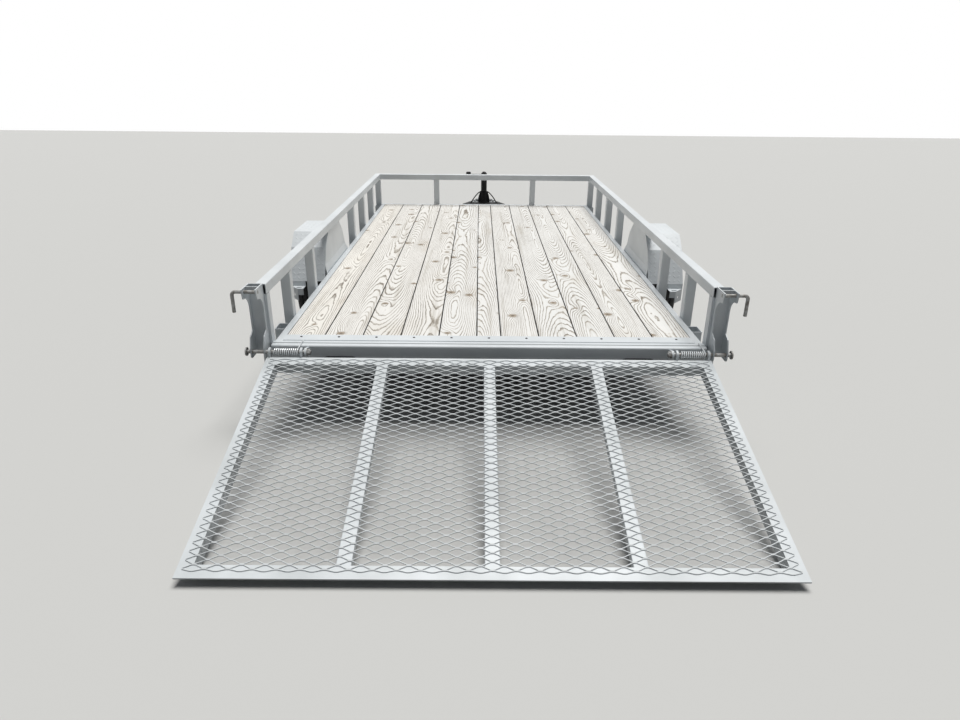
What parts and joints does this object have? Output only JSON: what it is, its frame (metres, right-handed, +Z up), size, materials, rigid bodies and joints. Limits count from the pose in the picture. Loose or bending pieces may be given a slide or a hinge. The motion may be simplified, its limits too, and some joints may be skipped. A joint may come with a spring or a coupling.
{
  "type": "utility trailer",
  "caption": "Single-axle utility trailer with a timber deck, tube side rails, fenders, tongue jack and a mesh rear gate lowered as a ramp.",
  "frame": {"origin": "on the ground under the centre of the whole trailer's box", "axes": "+Y towards the coupler, +X to the right, +Z up; parked nose-up on its jack"},
  "size_m": [2.498, 6.1674, 0.9012],
  "materials": {
    "grey_powder_coat": "smooth powder coat",
    "pine_board": "dry planed pine",
    "tyre_rubber": "matt",
    "silver_wheel": "silver enamel",
    "black_steel": "black enamel",
    "zinc_steel": "zinc plated",
    "red_lens": "moulded lens",
    "amber_lens": "moulded lens",
    "black_cable": "moulded"
  },
  "bodies": {
    "chassis": {"assist_springs": "zinc_steel", "axle": "black_steel", "axle_clamps": "black_steel", "board_retainer": "grey_powder_coat", "coupler": "black_steel", "coupler_latch": "zinc_steel", "deck_boards": "pine_board", "floor_crossmembers": "grey_powder_coat", "front_crossmember": "grey_powder_coat", "front_markers": "amber_lens", "front_top_rail": "grey_powder_coat", "front_uprights": "grey_powder_coat", "gate_posts": "grey_powder_coat", "hinge_rods": "zinc_steel", "jack_crank": "black_steel", "jack_mount": "black_steel", "jack_tube": "black_steel", "latch_bolts": "zinc_steel", "lead_grommets": "black_cable", "leaf_springs": "black_steel", "left_fender": "grey_powder_coat", "left_side_frame": "grey_powder_coat", "left_tongue": "grey_powder_coat", "left_top_rail": "grey_powder_coat", "rear_crossmember": "grey_powder_coat", "rear_markers": "red_lens", "right_fender": "grey_powder_coat", "right_side_frame": "grey_powder_coat", "right_tongue": "grey_powder_coat", "right_top_rail": "grey_powder_coat", "side_uprights": "grey_powder_coat", "spring_hangers": "grey_powder_coat", "spring_seats": "black_steel", "stake_pockets": "grey_powder_coat", "tail_lamps": "red_lens", "wiring_lead": "black_cable"},
    "left_wheel": {"left_tyre": "tyre_rubber", "left_rim": "silver_wheel", "left_hub": "black_steel"},
    "right_wheel": {"right_tyre": "tyre_rubber", "right_rim": "silver_wheel", "right_hub": "black_steel"},
    "gate": {"gate_frame": "grey_powder_coat", "gate_mesh": "grey_powder_coat", "gate_ribs": "grey_powder_coat"},
    "jack_leg": {"jack_leg_tube": "zinc_steel", "jack_foot": "zinc_steel"}
  },
  "joints": [
    {"name": "left_wheel_spin", "type": "hinge", "parent": "chassis", "child": "left_wheel", "pos_m": [-1.1385, -0.33608, 0.344], "axis": [1, 0, 0], "continuous": true},
    {"name": "right_wheel_spin", "type": "hinge", "parent": "chassis", "child": "right_wheel", "pos_m": [1.1385, -0.33608, 0.344], "axis": [1, 0, 0], "continuous": true},
    {"name": "gate_hinge", "type": "hinge", "parent": "chassis", "child": "gate", "pos_m": [0, -1.95625, 0.40028], "axis": [-1, 0, 0], "range_deg": [0, 104.31]},
    {"name": "jack_slide", "type": "slide", "parent": "chassis", "child": "jack_leg", "axis": [0, -0.0523, 0.9986], "range_m": [-0.044, 0.337]}
  ]
}
